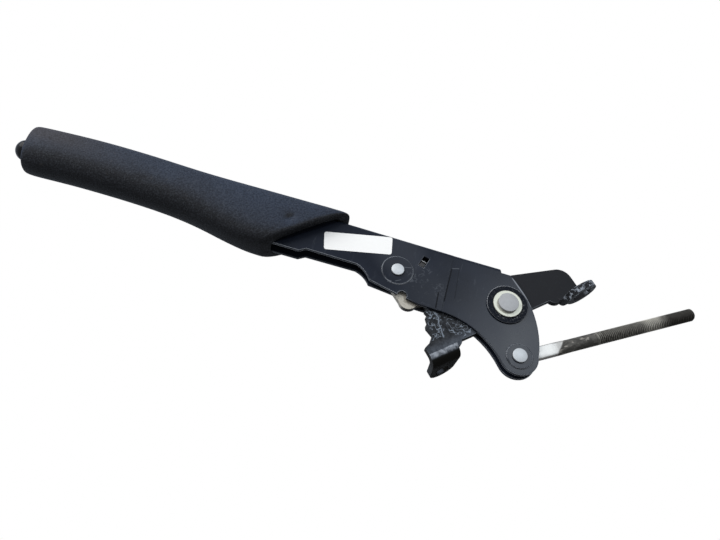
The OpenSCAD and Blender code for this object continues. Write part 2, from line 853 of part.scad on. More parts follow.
function pawl_outline() =
    let (
        tip = forward_polar(sector_r + pawl_gap, -tooth_angle),
        half = pawl_arm_w / 2,
        shoulder = acos(half / pawl_hub_r),
        arm_end = pawl_arm + release_d / 2
    )
    concat(
        [pawl_at + [-half, arm_end], pawl_at + [half, arm_end]],
        round_arc(pawl_at, pawl_hub_r, shoulder, -hub_low_angle, 8),
        [tip + ahead(tooth_back, tooth_rise), tip],
        round_arc(ahead(pawl_belly_u, -pawl_belly_drop), pawl_belly_r, belly_from_angle, belly_to_angle, 12),
        [ahead(pawl_flank_u, -pawl_flank_drop)],
        round_arc(pawl_at, pawl_hub_r, 180 + hub_low_angle, 180 - shoulder, 8)
    );
module pawl() {
    color(pale_cream)
        place_lever()
            difference() {
                slab(-pawl_t / 2, pawl_t / 2)
                    polygon(pawl_outline());
                cross_bar(pawl_at, pawl_pin_d / 2 + run_gap, -far_off, far_off);
            }
}
module pawl_rivet() {
    color(zinc_bright)
        place_lever() {
            cross_bar(pawl_at, pawl_pin_d / 2, -pawl_boss_face - head_root, pawl_boss_face + head_root);
            for (side = [-1, 1])
                rivet_head(pawl_at, pawl_head_d, pawl_head_h, pawl_boss_face, side);
        }
}
module pawl_spacer(side, r) {
    color(steel_grey)
        place_lever()
            on_side(side)
                cross_ring(
                    pawl_at, r, pawl_pin_d / 2 + run_gap,
                    pawl_t / 2 + lie_gap, pawl_t / 2 + lie_gap + spacer_t
                );
}
module near_pawl_spacer() {
    pawl_spacer(-1, near_spacer_r);
}
module far_pawl_spacer() {
    pawl_spacer(1, pawl_hub_r);
}
// Flat torsion coil round the near spacer, with one leg hooked through the cheek's slot and laid across it
module pawl_spring() {
    r = pawl_wire_d / 2;
    leg_r = 0.92 * r;
    coil_r = near_spacer_r + lie_gap + r;
    level = -(pawl_t / 2 + lie_gap + r);
    hook = ahead(slot_u, slot_v);
    hook_face = outer_half(slot_u) + hook_out;
    hook_w = slot_w - 2 * grip_gap;
    start = pawl_at + coil_r * [0, 1];
    run = hook - start;
    color(zinc_bright)
        place_lever() {
            translate([pawl_at[0], level, pawl_at[1]])
                rotate([90, 0, 0])
                    rotate_extrude()
                        translate([coil_r, 0])
                            circle(r = r);
            translate([start[0], level, start[1]])
                rotate([0, 90 - atan2(run[1], run[0]), 0])
                    cylinder(r = leg_r, h = norm(run));
            cross_bar(hook, r, -hook_face, level + leg_r + lie_gap / 2);
            translate([hook[0], leg_r + hook_stub - hook_face, hook[1]])
                rotate([0, 90 + slot_tilt, 0])
                    translate([0, 0, -hook_w / 2])
                        cylinder(r = leg_r, h = hook_w);
        }
}

// Pull rod and its pin

pin_face = cheek_out + pin_boss_h;
ring_t = 1;
ring_w = 3;
pin_tail = 1.2;
rod_chamfer = 1;
// How far the plain shank runs on into the flattened part and into the threaded end
shank_lap = 3;
// How much the plain shank's radius is below the thread's
shank_step = 0.2;
shank_end = rod_length - thread_length;
eye_t = 2 * cheek_in - 2 * plate_gap;

module pull_rod_pin() {
    color(zinc_bright)
        place_lever() {
            cross_bar(pin_at, pin_d / 2, -pin_face - head_root, pin_face + ring_t + pin_tail);
            rivet_head(pin_at, pin_head_d, pin_head_h, pin_face, -1);
        }
}
module pin_retaining_ring() {
    color(steel_grey)
        place_lever()
            cross_ring(pin_at, pin_d / 2 + ring_w, pin_d / 2, pin_face, pin_face + ring_t);
}
module pull_rod() {
    color(dark_steel)
        place_lever()
            translate([pin_at[0], 0, pin_at[1]])
                rotate([0, rod_slope - lever_angle, 0])
                    difference() {
                        union() {
                            cross_bar([0, 0], eye_r, -eye_t / 2, eye_t / 2);
                            translate([0, -eye_t / 2, -rod_d / 2])
                                cube([rod_flat, eye_t, rod_d]);
                            translate([rod_flat - shank_lap, 0, 0])
                                rotate([0, 90, 0])
                                    cylinder(
                                        r = rod_d / 2 - shank_step,
                                        h = shank_end - rod_flat + 2 * shank_lap
                                    );
                            translate([shank_end, 0, 0])
                                rotate([0, 90, 0])
                                    cylinder(d = rod_d, h = thread_length - rod_chamfer);
                            translate([rod_length - rod_chamfer, 0, 0])
                                rotate([0, 90, 0])
                                    cylinder(d1 = rod_d, d2 = rod_d - 2 * rod_chamfer, h = rod_chamfer);
                        }
                        cross_bar([0, 0], pin_d / 2 + run_gap, -far_off, far_off);
                    }
}

ratchet_bracket();
pivot_rivet();
near_pivot_washer();
far_pivot_washer();
lever_channel();
near_pivot_bush();
far_pivot_bush();
grip();
button_guide();
rod_guide();
spring_seat();
pawl_rivet();
near_pawl_spacer();
far_pawl_spacer();
pawl_spring();
pull_rod_pin();
pin_retaining_ring();
button();
release_rod();
rod_collar();
button_spring();
pawl();
pull_rod();
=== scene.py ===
"""Parking brake lever: grip, pull rod, seal, springs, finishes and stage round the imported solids."""

import json
import math

import bmesh
import bpy
from bpy.props import FloatProperty, FloatVectorProperty, IntProperty, PointerProperty
from mathutils import Matrix, Vector


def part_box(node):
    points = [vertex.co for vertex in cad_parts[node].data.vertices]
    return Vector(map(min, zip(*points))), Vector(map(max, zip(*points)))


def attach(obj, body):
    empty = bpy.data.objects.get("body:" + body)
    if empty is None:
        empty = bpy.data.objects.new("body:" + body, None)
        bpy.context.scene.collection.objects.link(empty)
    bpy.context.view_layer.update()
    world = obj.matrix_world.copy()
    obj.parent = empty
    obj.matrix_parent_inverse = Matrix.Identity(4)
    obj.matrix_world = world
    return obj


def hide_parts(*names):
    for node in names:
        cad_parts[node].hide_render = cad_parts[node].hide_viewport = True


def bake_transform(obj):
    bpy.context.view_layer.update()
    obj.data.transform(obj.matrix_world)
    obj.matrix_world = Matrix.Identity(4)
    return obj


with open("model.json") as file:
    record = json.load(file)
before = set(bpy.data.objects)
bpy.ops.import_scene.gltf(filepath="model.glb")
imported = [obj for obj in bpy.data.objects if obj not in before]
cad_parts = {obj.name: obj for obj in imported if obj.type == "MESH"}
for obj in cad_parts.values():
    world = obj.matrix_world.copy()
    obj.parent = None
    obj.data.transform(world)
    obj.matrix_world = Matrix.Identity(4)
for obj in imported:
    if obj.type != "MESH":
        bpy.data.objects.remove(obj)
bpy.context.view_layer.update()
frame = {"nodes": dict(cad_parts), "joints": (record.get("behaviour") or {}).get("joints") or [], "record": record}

bl_info = {
    "name": "Parking brake lever",
    "version": (1, 0, 0),
    "blender": (4, 5, 0),
    "location": "3D View > Sidebar > Brake lever",
    "description": "Builds the grip, pull rod, seal, springs, finishes and stage of a parking brake lever",
    "category": "Object",
}

MM = 0.001
JOINTS = {joint["name"]: joint for joint in frame["joints"]}
MOUNTS = {mount["name"]: mount for mount in frame["record"]["mounts"]}
PIVOT = Vector(JOINTS["lever_hinge"]["pos_m"])
ACROSS = Vector((0.0, 1.0, 0.0))
FORWARD = -Vector(JOINTS["button_slide"]["axis"]).normalized()
RISE = ACROSS.cross(FORWARD)
LEVER_TURN = math.atan2(FORWARD.z, -FORWARD.x)
# Where the cheeks begin to widen towards the pivot, in millimetres ahead of it
FLARE_AT = 38.0
ROD_PIN = Vector(JOINTS["pull_rod_swing"]["pos_m"])
ROD_WAY = Vector(MOUNTS["pull_rod_thread"]["axis"]).normalized()
ROD_RISE = ROD_WAY.cross(ACROSS)
ROD_TURN = math.atan2(-ROD_WAY.z, ROD_WAY.x)


def on_lever(ahead, height, side):
    """Point given in millimetres ahead of the main pivot, above it and across the lever."""
    return PIVOT + (FORWARD * ahead + RISE * height + ACROSS * side) * MM


def on_rod(along, height, side):
    """Point given in millimetres along the pull rod from its pin, above its axis and across it."""
    return ROD_PIN + (ROD_WAY * along + ROD_RISE * height + ACROSS * side) * MM


# Sizes, colours and light that a user would change


def colour(label, words, value):
    return FloatVectorProperty(
        name=label, description=words, default=value, subtype="COLOR", size=3, min=0, max=1,
    )


def length(label, words, value):
    return FloatProperty(
        name=label, description=words, default=value, unit="LENGTH", subtype="DISTANCE",
    )


class BRAKELEVER_PG_sizes(bpy.types.PropertyGroup):
    thread_pitch: length("Thread pitch", "Advance of the pull rod's thread per turn", 0.00125)
    thread_depth: length("Thread depth", "Depth of the pull rod's thread", 0.00072)
    thread_length: length("Thread length", "Length of the pull rod's threaded end", 0.071)
    rod_length: length("Rod length", "From the pull rod's pin to its end", 0.1234)
    seal_thickness: length("Seal thickness", "Thickness of the blank paper seal", 0.00012)
    dent_depth: length("Dent depth", "Depth of the small dents in the grip", 0.0012)
    grip_smoothing: IntProperty(
        name="Grip smoothing", description="Subdivision levels of the grip", default=2, min=0, max=3,
    )


class BRAKELEVER_PG_colours(bpy.types.PropertyGroup):
    grip: colour("Grip", "Soft moulded grip", (0.026, 0.035, 0.055))
    worn_grip: colour("Worn grip", "Handled front end of the grip", (0.040, 0.039, 0.046))
    lever: colour("Lever", "Electrocoat on the pressed channel", (0.010, 0.013, 0.0215))
    bracket: colour("Bracket", "Stoved black on the ratchet bracket", (0.0075, 0.0078, 0.009))
    grease: colour("Grease", "Dried grease on the ratchet bracket", (0.19, 0.225, 0.285))
    zinc: colour("Zinc", "Bright zinc on rivets and pins", (0.50, 0.52, 0.535))
    cream: colour("Cream zinc", "Pale zinc on the washers", (0.52, 0.52, 0.44))
    pawl: colour("Pawl", "Bare, slightly oiled steel of the pawl", (0.42, 0.39, 0.33))
    steel: colour("Steel", "Plain steel", (0.355, 0.357, 0.36))
    rod: colour("Rod", "Dark oiled steel of the pull rod", (0.105, 0.101, 0.093))
    button: colour("Button", "Gloss black plastic", (0.008, 0.008, 0.009))
    nylon: colour("Nylon", "Natural nylon of the rod guide", (0.6, 0.6, 0.55))
    paper: colour("Paper", "Blank paper seal", (0.93, 0.93, 0.92))


class BRAKELEVER_PG_stage(bpy.types.PropertyGroup):
    floor_level: length("Floor level", "Height of the floor from the mounting plane", -0.25)
    floor_radius: length("Floor radius", "Radius of the round floor", 0.9)
    floor_shade: FloatProperty(
        name="Floor shade", description="Grey of the floor", default=0.85, subtype="FACTOR", min=0, max=1,
    )
    key_power: FloatProperty(
        name="Key light", description="Power of the large light above", default=10.4, unit="POWER",
    )
    fill: FloatProperty(name="Fill", description="Strength of the light from all round", default=0.2)


# Shader building


class Shade:
    """A socket of a finish; sums and products written on it add Math nodes."""

    def __init__(self, finish, socket):
        self.finish = finish
        self.socket = socket

    def math(self, operation, first, second):
        return self.finish.node("ShaderNodeMath", {"operation": operation}, {0: first, 1: second})

    def __add__(self, other):
        return self.math("ADD", self, other)

    __radd__ = __add__

    def __sub__(self, other):
        return self.math("SUBTRACT", self, other)

    def __rsub__(self, other):
        return self.math("SUBTRACT", other, self)

    def __mul__(self, other):
        return self.math("MULTIPLY", self, other)

    __rmul__ = __mul__

    def either(self, other):
        """The larger of two masks."""
        return self.math("MAXIMUM", self, other)


class Finish:
    """A shader tree that is put together call by call."""

    def __init__(self, tree):
        self.tree = tree
        tree.nodes.clear()

    def node(self, kind, settings=None, sockets=None, out=0):
        made = self.tree.nodes.new(kind)
        for key, value in (settings or {}).items():
            setattr(made, key, value)
        for key, value in (sockets or {}).items():
            socket = made.inputs[key]
            if isinstance(value, Shade):
                self.tree.links.new(value.socket, socket)
            elif socket.type == "RGBA":
                socket.default_value = (*value, 1.0)
            else:
                socket.default_value = value
        return Shade(self, made.outputs[out]) if made.outputs else None

    def place(self):
        return self.node("ShaderNodeTexCoord", out="Object")

    def turned(self, turn=0.0, scale=(1.0, 1.0, 1.0), origin=(0.0, 0.0, 0.0)):
        """Object coordinates measured from a point, turned about the across axis, then scaled."""
        moved = self.node("ShaderNodeVectorMath", {"operation": "SUBTRACT"}, {0: self.place(), 1: origin})
        level = self.node("ShaderNodeMapping", None, {"Vector": moved, "Rotation": (0.0, turn, 0.0)})
        return self.node("ShaderNodeVectorMath", {"operation": "MULTIPLY"}, {0: level, 1: scale})

    def on_lever(self):
        """Millimetres ahead of the main pivot and above it, in the lever's own frame."""
        level = self.turned(-LEVER_TURN, (1000.0,) * 3, tuple(PIVOT))
        return 0.0 - self.part(level, "X"), self.part(level, "Z")

    def part(self, vector, axis):
        return self.node("ShaderNodeSeparateXYZ", None, {0: vector}, axis)

    def noise(self, scale, detail=3.0, rough=0.55, at=None, bend=0.0):
        sockets = {"Scale": scale, "Detail": detail, "Roughness": rough, "Distortion": bend}
        return self.node("ShaderNodeTexNoise", None, {"Vector": at or self.place(), **sockets})

    def cells(self, scale):
        return self.node("ShaderNodeTexVoronoi", None, {"Vector": self.place(), "Scale": scale}, "Distance")

    def facing(self, axis):
        """How far the plain surface faces along an axis."""
        return self.part(self.node("ShaderNodeNewGeometry", out="Normal"), axis)

    def mask(self, value, low, high):
        """0 up to low and 1 from high on, smooth between; with low above high it falls instead."""
        return self.node(
            "ShaderNodeMapRange", {"interpolation_type": "SMOOTHSTEP"},
            {"Value": value, "From Min": low, "From Max": high},
        )

    def ridge(self, value, low, high):
        """1 along the curves where a noise crosses its middle."""
        swing = value * 2.0 - 1.0
        return self.mask(1.0 - swing.math("ABSOLUTE", swing, 0.0), low, high)

    def near(self, ahead, height, centre, reach):
        """1 at a point of a plane, falling to 0 at its reach."""
        off, up = ahead - centre[0], height - centre[1]
        return self.mask(off * off + up * up, reach * reach, 0.0)

    def stroke(self, ahead, height, first, last, width):
        """1 on a straight mark between two points of a plane, 0 beyond its width."""
        run = Vector(last) - Vector(first)
        way = run.normalized()
        off, up = ahead - first[0], height - first[1]
        beside = off * way.y - up * way.x
        along = off * way.x + up * way.y
        ends = self.mask(along, -width, width) * self.mask(along, run.length + width, run.length - width)
        return self.mask(beside * beside, width * width, 0.0) * ends

    def strokes(self, ahead, height, marks):
        """All marks of a list, each with its two ends, its width and its strength."""
        drawn = [
            self.stroke(ahead, height, first, last, width) * strength
            for first, last, width, strength in marks
        ]
        shown = drawn[0]
        for other in drawn[1:]:
            shown = shown.either(other)
        return shown

    def mix(self, factor, first, second):
        return self.node("ShaderNodeMix", {"data_type": "RGBA"}, {0: factor, 6: first, 7: second}, 2)

    def bump(self, height, depth, strength=1.0, normal=None):
        sockets = {"Height": height, "Distance": depth, "Strength": strength}
        if normal:
            sockets["Normal"] = normal
        return self.node("ShaderNodeBump", None, sockets)

    def rounded(self, radius):
        """Normal that is rounded off along sharp edges, and a mask that is 1 on those edges."""
        soft = self.node("ShaderNodeBevel", {"samples": 6}, {"Radius": radius})
        plain = self.node("ShaderNodeNewGeometry", out="Normal")
        along = self.node("ShaderNodeVectorMath", {"operation": "DOT_PRODUCT"}, {0: soft, 1: plain}, "Value")
        return soft, self.mask(along, 0.995, 0.86)

    def surface(self, **sockets):
        named = {key.replace("_", " "): value for key, value in sockets.items()}
        shader = self.node("ShaderNodeBsdfPrincipled", None, named)
        self.node("ShaderNodeOutputMaterial", None, {"Surface": shader})


def new_finish(name):
    material = bpy.data.materials.new(name)
    material.use_nodes = True
    return material, Finish(material.node_tree)


def darker(tone, share):
    return tuple(channel * share for channel in tone)


# Tones that finishes share
SOOT = (0.006, 0.006, 0.008)
# Tone of scuffs, also used for a painted pool of light on the cheek
SCUFF_AND_LIGHT_POOL = (0.11, 0.12, 0.14)
# Tone of lightened edges: a little wear, and painted highlights and reflections in places
EDGE_WEAR_AND_HIGHLIGHT = (0.52, 0.56, 0.62)
EDGE_GLEAM = (0.62, 0.65, 0.70)
# Tone of painted highlights on the bracket's edges
PALE_EDGE_HIGHLIGHT = (0.42, 0.46, 0.52)
# Marks on the cheek in millimetres ahead of the pivot and above it: two ends, width and strength
# Press creases; the coat is painted near-black along them as shade in the creases
PRESS_LINES = (
    ((37.6, -10.0), (37.4, 14.0), 0.55, 1.0),
    ((31.8, -6.0), (32.9, 15.0), 0.45, 0.5),
    ((41.7, -16.2), (42.1, -4.8), 0.6, 1.0),
)
SCRATCHES = (
    ((37.2, 14.2), (33.0, 15.6), 0.36, 1.0),
    ((66.6, 4.7), (61.7, 5.9), 0.34, 1.0),
    ((73.8, -7.9), (71.4, -7.0), 0.34, 1.0),
    ((69.1, -6.4), (66.0, -4.4), 0.34, 1.0),
)
# Painted highlight along the cheek's rear edge: two strokes, each with its two ends, width and strength
REAR_RIM = (((-0.4, 19.9), (-12.2, 7.4), 0.55, 1.0), ((-12.2, 7.4), (-14.8, 3.3), 0.55, 1.0))
SCUFFED, SCUFF_REACH = (53.0, -3.0), 17.0
# Painted pool of light on the cheek: centre in millimetres ahead of the pivot and above it, and reach
LIT, LIT_REACH = (71.0, 14.0), 20.0
# Marks on the sector in millimetres along X and Z
GREASE_GROOVES = (((10.6, 31.0), (7.6, 12.5), 1.9, 1.0), ((16.2, 23.0), (15.2, 17.0), 2.2, 1.0))
GREASE_RUN = ((7.2, 30.0), (4.6, 13.0), 0.55)
GREASE_PATCHES = (((0.0, 25.0), 15.0), ((17.0, 17.0), 11.0))


def grip_foam(tone, worn):
    """Moulded foam skin: leathery grain, slow shifts of shade, dust, a worn, browner front end and painted shade
    on faces that look down.
    """
    material, f = new_finish("grip_foam")
    ahead, height = f.on_lever()
    grain = f.noise(950.0, 2.0, 0.6)
    pores = f.cells(1150.0)
    slow = f.noise(26.0, 3.0)
    dust = f.mask(f.noise(230.0, 4.0, 0.7), 0.60, 0.78)
    handled = f.mask(ahead + 60.0 * slow, 262.0, 322.0) * f.mask(height, 6.0, 22.0)
    base = f.mix(handled, tone, worn)
    # Faces that look down are tinted a neutral near-black: painted shade
    down = f.mask(f.facing("Z"), 0.10, -0.35)
    base = f.mix(down * 0.85, base, (0.018, 0.018, 0.018))
    base = f.mix(f.mask(slow, 0.62, 0.36) * 0.25, base, (0.008, 0.008, 0.010))
    base = f.mix(f.mask(grain, 0.52, 0.36) * 0.46, base, SOOT)
    base = f.mix(f.mask(grain, 0.50, 0.66) * 0.27, base, (0.068, 0.076, 0.094))
    base = f.mix(dust * 0.22, base, (0.10, 0.088, 0.08))
    f.surface(
        Base_Color=base, Roughness=0.50 + 0.16 * slow + 0.10 * grain,
        Normal=f.bump(grain * 0.7 + pores * 0.5, 0.00034, 0.55), Specular_IOR_Level=0.10,
    )
    return material


def black_coat(tone):
    """Thin blue-black coat on the pressed channel: hair scratches, scuffs, press creases painted dark as shade, a
    painted pool of light, and edges lightened by a little wear and, in places, by painted highlights and
    reflections.
    """
    material, f = new_finish("lever_coat")
    soft, edge = f.rounded(0.0008)
    ahead, height = f.on_lever()
    slow = f.noise(40.0, 3.0)
    fine = f.noise(700.0, 3.0, 0.6)
    drawn_out = f.turned(-LEVER_TURN, (9.0, 1.0, 1.0))
    hair = f.mask(f.noise(70.0, 4.0, 0.65, drawn_out), 0.60, 0.72) * f.mask(slow, 0.40, 0.62)
    rubbed = f.near(ahead, height, SCUFFED, SCUFF_REACH)
    curls = f.ridge(f.noise(300.0, 2.0, 0.5), 0.90, 0.97) * f.mask(f.noise(120.0, 2.0), 0.50, 0.60)
    dust = f.mask(f.noise(430.0, 4.0, 0.75), 0.61, 0.75) * (0.35 + 0.65 * rubbed)
    lines = f.strokes(ahead, height, PRESS_LINES)
    lights = f.strokes(ahead, height, SCRATCHES)
    base = f.mix(f.mask(slow, 0.3, 0.7), darker(tone, 0.82), darker(tone, 1.15))
    base = f.mix(rubbed * 0.06, base, SCUFF_AND_LIGHT_POOL)
    # Painted pool of light on the cheek
    base = f.mix(f.near(ahead, height, LIT, LIT_REACH) * 0.16, base, SCUFF_AND_LIGHT_POOL)
    base = f.mix(hair * 0.20, base, (0.12, 0.135, 0.16))
    base = f.mix(dust * 0.30, base, (0.16, 0.175, 0.20))
    base = f.mix(rubbed * curls * 0.35, base, (0.14, 0.155, 0.18))
    # Painted shade along the press creases
    base = f.mix(lines * 0.85, base, (0.002, 0.002, 0.003))
    base = f.mix(lights * 0.35, base, (0.20, 0.22, 0.25))
    under = f.mask(f.part(soft, "Z"), 0.05, -0.30)
    crease = f.stroke(ahead, height, (FLARE_AT, -40.0), (FLARE_AT, 40.0), 1.6)
    near_cheek = f.mask(f.part(f.place(), "Y"), -0.0165, -0.0190)
    shown = f.mask(ahead, 54.0, 64.0) * near_cheek + f.mask(ahead, 16.0, 6.0) * 0.7
    upper = f.mask(f.part(soft, "Z"), 0.05, 0.35) * near_cheek
    # Edge weights: a little wear on every edge, painted reflections on lower edges where shown, painted highlights
    # on upper edges of the near cheek
    worn = 0.10 + 0.80 * under * shown + 0.32 * upper
    base = f.mix(edge * (1.0 - crease) * worn, base, EDGE_WEAR_AND_HIGHLIGHT)
    # Painted highlight along the cheek's rear edge
    base = f.mix(f.strokes(ahead, height, REAR_RIM) * 0.4, base, EDGE_WEAR_AND_HIGHLIGHT)
    f.surface(
        Base_Color=base, Roughness=0.23 + 0.10 * slow + 0.12 * dust + 0.4 * lines,
        Normal=f.bump(fine + hair * 2.0, 0.00001, 0.5, soft), Specular_IOR_Level=0.12,
    )
    return material


def greasy_black(tone, grease):
    """Black bracket plate: dried grease between dark grooves on the sector with painted sheen above the bend, a
    painted highlight along the bend, painted sheen on the arm, edges lightened by wear and painted highlights, and
    painted shade on the foot and end faces.
    """
    material, f = new_finish("greasy_black")
    soft, edge = f.rounded(0.0006)
    slow = f.noise(55.0, 3.0)
    level = f.part(f.place(), "Z") * 1000.0
    depth = f.part(f.place(), "X") * 1000.0
    front = f.mask(depth, 33.0, 24.0) * f.mask(f.facing("Y"), -0.75, -0.97)
    wavy = depth + 5.0 * f.noise(130.0, 1.0) - 2.5
    grooves = f.strokes(wavy, level, GREASE_GROOVES)
    upper, lower = (f.near(depth, level, centre, reach) for centre, reach in GREASE_PATCHES)
    patch = f.mask(upper.either(lower) + 0.9 * f.noise(260.0, 1.0), 0.74, 0.92)
    worms = f.ridge(f.noise(430.0, 0.0, 0.5, None, 0.6), 0.88, 0.97) * patch
    worms = worms.either(f.stroke(wavy, level, *GREASE_RUN))
    # Lower sector towards the bend: mottled grease tone, which is also painted sheen fading up from the bend
    grease_and_sheen = front * f.mask(level, 14.0, 5.5)
    base = f.mix(f.mask(slow, 0.3, 0.7), darker(tone, 0.6), darker(tone, 1.1))
    # The arm, from about 50 mm on, is lightened: painted sheen
    base = f.mix(f.mask(depth, 50.0, 60.0) * (0.5 + 0.7 * slow), base, darker(tone, 2.6))
    mottle = f.noise(380.0, 4.0, 0.72)
    base = f.mix(grease_and_sheen * (0.05 + 0.42 * mottle), base, grease)
    base = f.mix(front * grooves * 0.9, base, (0.003, 0.003, 0.004))
    base = f.mix(front * worms * (0.52 - 0.48 * grooves), base, (0.34, 0.40, 0.48))
    base = f.mix(f.mask(f.noise(900.0, 3.0, 0.7), 0.60, 0.70) * 0.03, base, (0.26, 0.30, 0.36))
    down = 0.0 - f.facing("Z")
    # Band along the rounded outside of the bend: painted highlight
    bend = f.mask(down, -0.02, 0.10) * f.mask(down, 0.55, 0.30) * f.mask(depth, 32.0, 24.0)
    base = f.mix(bend * f.mask(mottle, 0.25, 0.70), base, (0.42, 0.455, 0.51))
    # Every edge lightened: wear together with painted highlight
    base = f.mix(edge * 0.30, base, (0.17, 0.18, 0.20))
    # Edges of the shoulder and lower edges of the arm: painted highlights
    shoulder = f.mask(depth, 13.0, 17.0) * f.mask(depth, 36.0, 30.0) * f.mask(level, 14.0, 10.0)
    base = f.mix(edge * shoulder * 0.8, base, PALE_EDGE_HIGHLIGHT)
    arm = f.mask(depth, 54.0, 60.0) * f.mask(depth, 84.0, 76.0) * f.mask(f.part(soft, "Z"), -0.02, -0.25)
    base = f.mix(edge * arm * 0.8, base, PALE_EDGE_HIGHLIGHT)
    # Faces of the foot that look down and end faces that look along minus X are set near-black: painted shade
    foot = f.mask(down, 0.35, 0.60) * f.mask(depth, 50.0, 30.0)
    ends = f.mask(f.facing("X"), -0.35, -0.6) * f.mask(depth, 32.0, 24.0)
    base = f.mix(foot.either(ends) * 0.9, base, (0.0105, 0.0102, 0.0085))
    ear = f.mask(f.part(f.place(), "Y"), -0.0215, -0.0245) * f.mask(depth, 60.0, 70.0)
    base = f.mix(ear * f.mask(f.noise(480.0, 3.0, 0.7), 0.48, 0.60) * 0.75, base, (0.40, 0.45, 0.52))
    f.surface(
        Base_Color=base, Roughness=0.38 + 0.2 * slow - 0.08 * worms + 0.2 * foot,
        Normal=f.bump(worms * front * 1.5 + f.noise(600.0, 3.0), 0.00006, 0.5, soft),
        Specular_IOR_Level=0.05,
    )
    return material


def dirty_ring(tone):
    """Black bush ring with dust caught in it and a painted highlight on its upper edges."""
    material, f = new_finish("dirty_ring")
    soft, edge = f.rounded(0.0005)
    ahead, height = f.on_lever()
    below = f.mask(f.part(f.place(), "Z"), PIVOT.z + 0.002, PIVOT.z - 0.006)
    inner = f.mask(ahead * ahead + height * height, 132.0, 108.0) * below
    specks = f.mask(f.noise(900.0, 4.0, 0.75), 0.52, 0.66)
    base = f.mix(specks * (0.12 + 0.55 * inner), darker(tone, 0.55), (0.30, 0.31, 0.32))
    # Edges lightened a little all round and strongly where they face up: painted highlight
    gleam = f.mask(f.part(soft, "Z"), 0.02, 0.30)
    base = f.mix(edge * (0.22 + 0.70 * gleam), base, EDGE_GLEAM)
    f.surface(
        Base_Color=base, Roughness=0.55 + 0.2 * specks,
        Normal=f.bump(specks, 0.00004, 0.5, soft), Specular_IOR_Level=0.05,
    )
    return material


def plated(name, tone, rough, spots, darkening):
    """Zinc or plain steel: bright metal with a brushed grain, dull spots, darker rounded edges and painted shade
    on faces that look down.
    """
    material, f = new_finish(name)
    soft, edge = f.rounded(0.0004)
    slow = f.noise(140.0, 3.0)
    grain = f.noise(900.0, 3.0, 0.65)
    stain = f.mask(f.noise(330.0, 4.0, 0.7), 0.55, 0.75)
    base = f.mix(f.mask(slow, 0.3, 0.7), darker(tone, 0.90), tone)
    base = f.mix(stain * spots, base, darker(tone, 0.45))
    base = f.mix(edge * 0.35, base, darker(tone, 0.55))
    # Faces that look down are darkened: painted shade
    down = f.mask(f.facing("Z"), -0.15, -0.50)
    base = f.mix(down * darkening, base, darker(tone, 0.06))
    f.surface(
        Base_Color=base, Metallic=0.45 - 0.2 * stain, Roughness=rough + 0.12 * slow,
        Normal=f.bump(grain, 0.00003, 0.4, soft),
    )
    return material


def rod_steel(tone):
    """Pull rod: bright flattened eye, dark oily shank and a brownish thread with painted shade in its roots and
    one cleaner patch.
    """
    material, f = new_finish("rod_steel")
    soft = f.rounded(0.0003)[0]
    place = f.turned(-ROD_TURN, (1000.0,) * 3, tuple(ROD_PIN))
    along, height = f.part(place, "X"), f.part(place, "Z")
    across = f.part(place, "Y")
    crest = f.mask(height * height + across * across, 13.3, 14.9)
    threaded = f.mask(along, 52.0, 54.0)
    slow = f.noise(90.0, 4.0, 0.6)
    wander = along + 8.0 * slow
    bright = f.mask(along + 4.0 * slow - 1.0 * height, 31.0, 29.6)
    clean = f.mask(wander, 87.0, 93.0) * f.mask(wander, 105.0, 99.0)
    oil = f.mask(f.noise(300.0, 3.0, 0.7, f.turned(-ROD_TURN, (0.5, 1.0, 1.0))), 0.42, 0.60)
    glints = f.mask(f.noise(520.0, 2.0, 0.6, f.turned(-ROD_TURN, (0.4, 1.0, 1.0))), 0.57, 0.66)
    grit = f.mask(f.noise(650.0, 3.0, 0.7), 0.36, 0.62)
    base = f.mix(oil * 0.7, tone, darker(tone, 0.3))
    base = f.mix(glints * (1.0 - threaded) * 0.5, base, (0.50, 0.47, 0.42))
    # Thread roots near black: painted shade in the recesses, along with oil
    base = f.mix(threaded * (1.0 - crest) * 0.95, base, (0.006, 0.005, 0.004))
    base = f.mix(threaded * crest * (0.10 + 0.24 * grit + 0.66 * clean), base, (0.68, 0.66, 0.59))
    base = f.mix(f.mask(wander, 105.0, 110.0) * 0.80, base, (0.016, 0.014, 0.012))
    flat = f.mix(f.mask(slow, 0.42, 0.60), (0.37, 0.36, 0.34), (0.52, 0.505, 0.475))
    base = f.mix(bright, base, flat)
    f.surface(
        Base_Color=base, Metallic=0.10 + 0.60 * bright, Roughness=0.48 + 0.2 * slow - 0.12 * bright,
        Normal=f.bump(f.noise(800.0, 3.0, 0.6), 0.00004, 0.5, soft), Specular_IOR_Level=0.15,
    )
    return material


def gloss_plastic(tone):
    """Polished plastic with faint swirls."""
    material, f = new_finish("gloss_plastic")
    soft, edge = f.rounded(0.0005)
    swirl = f.noise(300.0, 3.0)
    base = f.mix(f.mask(swirl, 0.4, 0.7), tone, darker(tone, 1.4))
    f.surface(
        Base_Color=f.mix(edge * 0.2, base, (0.05, 0.05, 0.055)), Roughness=0.18 + 0.12 * swirl,
        Normal=soft, Specular_IOR_Level=0.12,
    )
    return material


def nylon(tone):
    """Natural nylon with a cloudy tone."""
    material, f = new_finish("natural_nylon")
    cloud = f.noise(200.0, 3.0)
    base = f.mix(cloud, darker(tone, 0.85), tone)
    f.surface(Base_Color=base, Roughness=0.45 + 0.1 * cloud, Normal=f.bump(cloud, 0.00003))
    return material


def paper(tone):
    """Coated white paper, a little grubby in places."""
    material, f = new_finish("seal_paper")
    fibre = f.noise(1400.0, 3.0, 0.6)
    darkening = f.mask(f.noise(180.0, 4.0, 0.65), 0.60, 0.80)
    base = f.mix(darkening * 0.10, tone, (0.6, 0.6, 0.59))
    f.surface(Base_Color=base, Roughness=0.5 + 0.1 * fibre, Normal=f.bump(fibre, 0.00002, 0.3))
    return material


# Modelling helpers


def deselect():
    bpy.ops.object.select_all(action="DESELECT")


